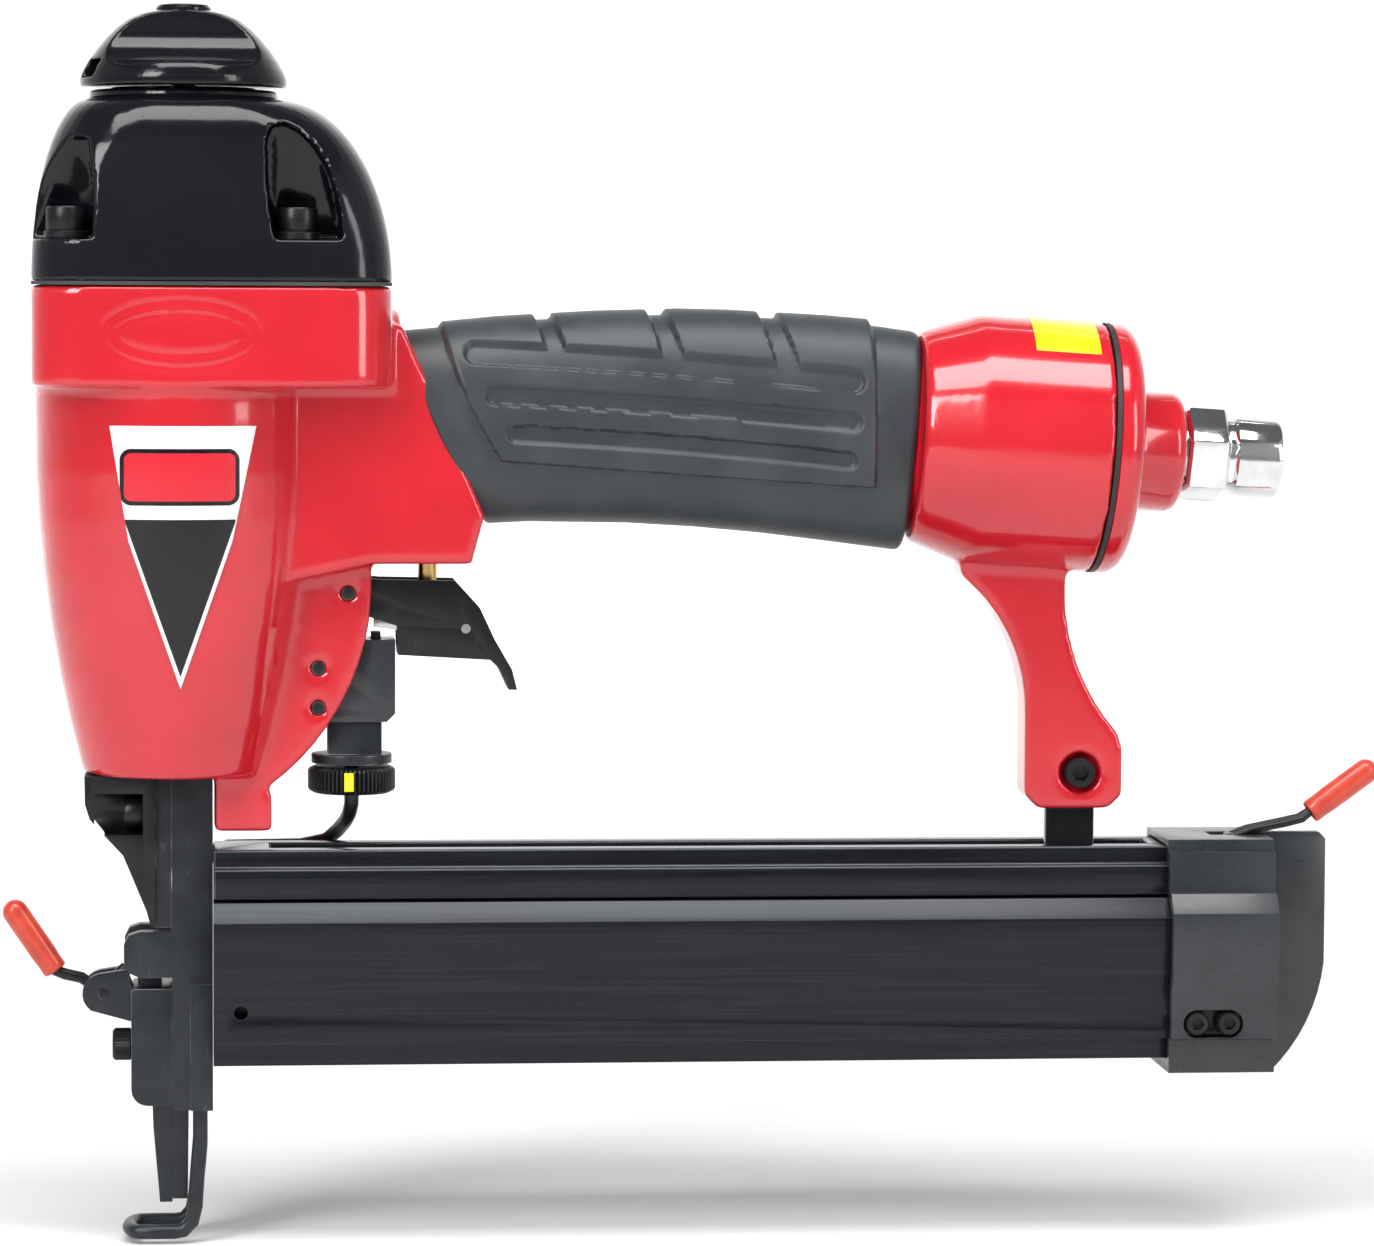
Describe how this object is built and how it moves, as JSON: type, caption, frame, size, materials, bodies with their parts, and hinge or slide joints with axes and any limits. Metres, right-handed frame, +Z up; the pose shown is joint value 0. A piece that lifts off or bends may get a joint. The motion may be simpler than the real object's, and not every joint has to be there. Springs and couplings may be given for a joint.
{
  "type": "pneumatic nail gun",
  "caption": "Air-driven brad and staple gun: cast body with rubber grip, sprung trigger and contact foot, hinged nose door, and a rear-loading magazine under the handle.",
  "frame": {"origin": "on the driver blade's axis, level with the underside of the contact foot at rest", "axes": "+X back along the handle and magazine, +Y to the tool's right-hand side, +Z up the cylinder"},
  "size_m": [0.2977, 0.061, 0.2626],
  "materials": {
    "red_enamel": "gloss",
    "black_enamel": "gloss",
    "grip_rubber": "matt",
    "seal_rubber": "matt",
    "bumper_rubber": "matt",
    "fibre_gasket": "matt",
    "black_oxide": "satin",
    "phosphate_steel": "satin",
    "spring_steel": "satin",
    "ground_steel": "satin",
    "alloy": "satin",
    "anodised_black": "satin",
    "chrome_plate": "gloss",
    "brass_part": "satin",
    "moulded_grey": "satin",
    "white_acetal": "satin",
    "red_vinyl": "gloss",
    "badge_print": "gloss",
    "yellow_label": "gloss"
  },
  "bodies": {
    "tool": {"main_housing": "red_enamel", "head_cap": "black_enamel", "head_gasket": "fibre_gasket", "head_screws": "black_oxide", "head_washers": "black_oxide", "deflector_screw": "black_oxide", "cylinder_sleeve": "alloy", "cylinder_seal": "seal_rubber", "piston_bumper": "bumper_rubber", "grip_sleeve": "grip_rubber", "handle_end_cap": "red_enamel", "end_cap_seal": "seal_rubber", "inlet_adaptor": "chrome_plate", "trigger_pin": "black_oxide", "trigger_valve_body": "moulded_grey", "safety_guide": "moulded_grey", "guide_pins": "black_oxide", "nose_block": "phosphate_steel", "nose_front_plate": "phosphate_steel", "nose_bracket": "black_oxide", "nose_screws": "black_oxide", "door_hinge_pin": "ground_steel", "magazine_rail": "anodised_black", "magazine_strap": "black_enamel", "strap_screw": "black_oxide", "name_badge": "badge_print", "handle_label": "yellow_label"},
    "deflector": {"exhaust_deflector": "black_enamel", "deflector_plug": "black_enamel"},
    "driver": {"piston": "alloy", "piston_ring": "seal_rubber", "driver_blade": "ground_steel"},
    "firing_valve": {"head_valve": "white_acetal", "head_valve_seal": "seal_rubber", "head_valve_spring": "spring_steel"},
    "trigger_unit": {"trigger": "black_oxide", "trip_pin": "ground_steel"},
    "trip": {"trip_lever": "ground_steel"},
    "valve_stem": {"trigger_valve_stem": "brass_part", "trigger_valve_spring": "spring_steel"},
    "safety": {"safety_stem": "phosphate_steel", "safety_spring": "spring_steel"},
    "adjuster": {"depth_wheel": "black_oxide"},
    "foot": {"contact_foot": "phosphate_steel"},
    "door": {"release_door": "phosphate_steel", "door_screw": "black_oxide", "latch_pin": "black_oxide"},
    "door_latch": {"latch_lever": "black_oxide", "latch_sleeve": "red_vinyl"},
    "magazine": {"magazine_cover": "anodised_black", "magazine_end_cap": "moulded_grey", "end_cap_screws": "black_oxide", "end_plate": "moulded_grey", "magazine_latch_pin": "ground_steel"},
    "feeder": {"pusher": "black_oxide", "feed_spring": "spring_steel"},
    "cover_latch": {"magazine_latch": "spring_steel", "magazine_latch_sleeve": "red_vinyl"}
  },
  "joints": [
    {"name": "deflector_turn", "type": "hinge", "parent": "tool", "child": "deflector", "pos_m": [0.0019, 0, 0.25], "axis": [0, 0, 1], "continuous": true},
    {"name": "driver_stroke", "type": "slide", "parent": "tool", "child": "driver", "axis": [0, 0, -1], "range_m": [0, 0.074]},
    {"name": "firing_valve_lift", "type": "slide", "parent": "tool", "child": "firing_valve", "axis": [0, 0, 1], "range_m": [0, 0.003], "stiffness_N_per_m": 500, "springref_m": -0.006, "deforming": ["head_valve_spring"]},
    {"name": "trigger_pull", "type": "hinge", "parent": "tool", "child": "trigger_unit", "pos_m": [0.0365, 0, 0.1381], "axis": [0, -1, 0], "range_deg": [0, 8], "stiffness_Nm_per_rad": 0.3, "springref_deg": -11.46},
    {"name": "trip_lever_tilt", "type": "hinge", "parent": "trigger_unit", "child": "trip", "pos_m": [0.0616, 0, 0.1304], "axis": [0, 1, 0], "range_deg": [0, 17.5]},
    {"name": "valve_stem_push", "type": "slide", "parent": "tool", "child": "valve_stem", "axis": [0, 0, 1], "range_m": [0, 0.0022], "stiffness_N_per_m": 300, "springref_m": -0.004, "deforming": ["trigger_valve_spring"]},
    {"name": "safety_slide", "type": "slide", "parent": "tool", "child": "safety", "axis": [0, 0, 1], "range_m": [0, 0.0065], "stiffness_N_per_m": 300, "springref_m": -0.01, "deforming": ["safety_spring"]},
    {"name": "depth_wheel_turn", "type": "hinge", "parent": "safety", "child": "adjuster", "pos_m": [0.0375, 0, 0.098], "axis": [0, 0, 1], "range_deg": [-360.5, 360.5]},
    {"name": "foot_depth", "type": "slide", "parent": "safety", "child": "foot", "axis": [0, 0, 1], "range_m": [-0.001, 0.001]},
    {"name": "door_open", "type": "hinge", "parent": "tool", "child": "door", "pos_m": [-0.0055, 0, 0.0608], "axis": [0, 1, 0], "range_deg": [0, 35]},
    {"name": "latch_flip", "type": "hinge", "parent": "door", "child": "door_latch", "pos_m": [-0.0154, 0, 0.0524], "axis": [0, -1, 0], "range_deg": [0, 95]},
    {"name": "magazine_slide", "type": "slide", "parent": "tool", "child": "magazine", "axis": [1, 0, 0], "range_m": [0, 0.11]},
    {"name": "pusher_slide", "type": "slide", "parent": "magazine", "child": "feeder", "axis": [1, 0, 0], "range_m": [0, 0.15], "stiffness_N_per_m": 25, "springref_m": -0.1},
    {"name": "cover_latch_press", "type": "hinge", "parent": "magazine", "child": "cover_latch", "pos_m": [0.2285, 0, 0.0834], "axis": [0, 1, 0], "range_deg": [0, 4], "stiffness_Nm_per_rad": 0.1, "springref_deg": -8.59}
  ],
  "couplings": [
    {"joint": "trip_lever_tilt", "follows": "safety_slide", "rad_per_m": 46.4},
    {"joint": "depth_wheel_turn", "follows": "foot_depth", "rad_per_m": 6283.2}
  ]
}
